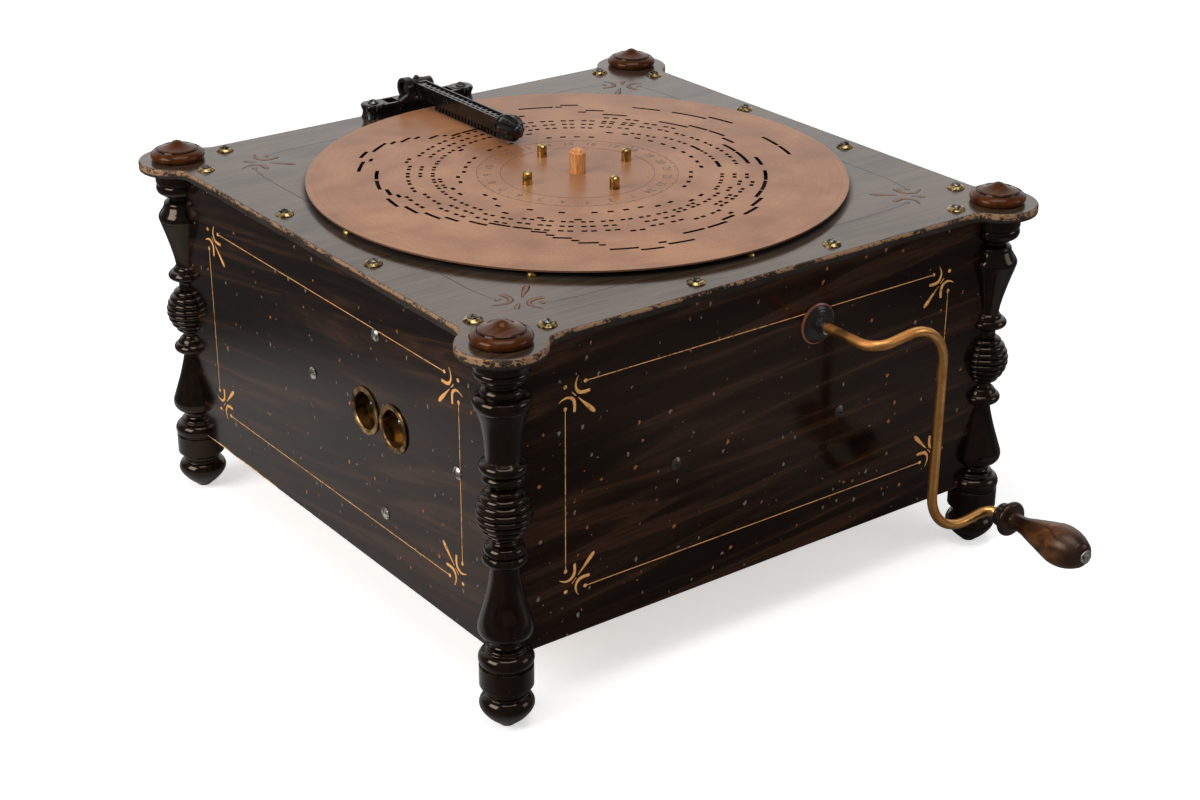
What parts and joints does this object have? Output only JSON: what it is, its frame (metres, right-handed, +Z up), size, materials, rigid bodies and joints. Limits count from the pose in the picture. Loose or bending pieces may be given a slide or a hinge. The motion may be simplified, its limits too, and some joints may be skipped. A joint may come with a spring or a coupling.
{
  "type": "hand-cranked table organ with a card disc",
  "caption": "Square wooden case on turned posts with a slotted card disc on a turntable, a hinged pressure arm over it and a bent side crank with a wooden grip.",
  "frame": {"origin": "on the floor, under the disc's axis, in the middle of the four feet", "axes": "+Z up; the crank face of the case looks along -Y, the face with the two brass cups along -X, and the pressure arm is hinged at the +Y edge"},
  "size_m": [0.407, 0.5104, 0.2506],
  "materials": {
    "stained_wood": "dark walnut stain with old shellac",
    "board_wood": "stained and shellacked, satin",
    "mahogany": "turned and polished",
    "pale_wood": "planed, unfinished",
    "dark_wood": "turned and polished",
    "card": "pressed card, aged, matte",
    "cast_iron": "japanned black, worn",
    "steel": "bright, slightly aged",
    "brass": "polished, aged",
    "brassed_rod": "copper-washed, rubbed",
    "black_metal": "blackened",
    "leather": "thin bellows leather"
  },
  "bodies": {
    "case": {"front_panel": "stained_wood", "back_panel": "stained_wood", "left_panel": "stained_wood", "right_panel": "stained_wood", "top_board": "board_wood", "post_front_left": "mahogany", "post_front_right": "mahogany", "post_back_left": "mahogany", "post_back_right": "mahogany", "post_caps": "mahogany", "bottom_board": "pale_wood", "wind_board": "pale_wood", "wind_chest": "pale_wood", "reed_block": "pale_wood", "panel_battens": "pale_wood", "key_rail": "pale_wood", "arm_bracket": "cast_iron", "gear_frame": "cast_iron", "crank_escutcheon": "cast_iron", "rear_bearing": "cast_iron", "top_screws": "steel", "panel_screws": "steel", "arm_bracket_screws": "steel", "frame_screws": "steel", "arm_hinge_pin": "steel", "side_cup_screws": "steel", "key_pivot_wire": "steel", "reservoir_springs": "steel", "cup_washers": "brass", "disc_rest_studs": "brass", "side_cups": "brass", "bearing_bushes": "brass", "key_guide_plate": "brass", "reed_plates": "brass", "key_springs": "brass", "feeder_leather_front": "leather", "feeder_leather_rear": "leather", "reservoir_leather": "leather"},
    "crank": {"crankshaft": "steel", "worm": "brass", "crank_rod": "brassed_rod", "grip_washer": "steel"},
    "grip": {"crank_grip": "dark_wood", "grip_ferrule": "black_metal"},
    "turntable": {"turntable_plate": "steel", "turntable_spindle": "steel", "worm_wheel": "brass", "drive_pins": "brass", "centre_peg": "pale_wood", "music_disc": "card"},
    "arm": {"pressure_arm": "cast_iron"},
    "feeder_front": {"feeder_board_front": "pale_wood", "feeder_fork_front": "steel"},
    "feeder_rear": {"feeder_board_rear": "pale_wood", "feeder_fork_rear": "steel"},
    "rod_front": {"connecting_rod_front": "steel"},
    "rod_rear": {"connecting_rod_rear": "steel"},
    "reservoir": {"reservoir_board": "pale_wood"},
    "keys": {"key_levers": "pale_wood", "key_pallets": "leather"}
  },
  "joints": [
    {"name": "crank_turn", "type": "hinge", "parent": "case", "child": "crank", "pos_m": [0.0358, 0, 0.185], "axis": [0, 1, 0], "continuous": true},
    {"name": "grip_spin", "type": "hinge", "parent": "crank", "child": "grip", "pos_m": [0.141, -0.27, 0.054], "axis": [0, 1, 0], "continuous": true},
    {"name": "turntable_spin", "type": "hinge", "parent": "case", "child": "turntable", "pos_m": [0, 0, 0.2], "axis": [0, 0, 1], "continuous": true},
    {"name": "arm_lift", "type": "hinge", "parent": "case", "child": "arm", "pos_m": [0, 0.1825, 0.2425], "axis": [-1, 0, 0], "range_deg": [0, 100]},
    {"name": "feeder_front_pump", "type": "hinge", "parent": "case", "child": "feeder_front", "pos_m": [0.16, -0.081, 0.087], "axis": [0, 1, 0], "range_deg": [-3.2, 3.2], "deforming": ["feeder_leather_front"]},
    {"name": "feeder_rear_pump", "type": "hinge", "parent": "case", "child": "feeder_rear", "pos_m": [0.16, 0.081, 0.087], "axis": [0, 1, 0], "range_deg": [-3.2, 3.2], "deforming": ["feeder_leather_rear"]},
    {"name": "rod_front_turn", "type": "hinge", "parent": "crank", "child": "rod_front", "pos_m": [0.0288, -0.081, 0.185], "axis": [0, 1, 0], "continuous": true},
    {"name": "rod_rear_turn", "type": "hinge", "parent": "crank", "child": "rod_rear", "pos_m": [0.0428, 0.081, 0.185], "axis": [0, 1, 0], "continuous": true},
    {"name": "reservoir_drop", "type": "hinge", "parent": "case", "child": "reservoir", "pos_m": [-0.158, 0, 0.073], "axis": [0, 1, 0], "range_deg": [0, 2.7], "stiffness_Nm_per_rad": 4, "springref_deg": -22.92, "deforming": ["reservoir_leather", "reservoir_springs"]},
    {"name": "keys_lift", "type": "hinge", "parent": "case", "child": "keys", "pos_m": [-0.085, 0.11, 0.2105], "axis": [0, -1, 0], "range_deg": [0, 1], "deforming": ["key_springs"]}
  ],
  "couplings": [
    {"joint": "turntable_spin", "follows": "crank_turn", "ratio": -0.027778},
    {"joint": "rod_front_turn", "follows": "crank_turn", "ratio": -1},
    {"joint": "rod_rear_turn", "follows": "crank_turn", "ratio": -1}
  ]
}
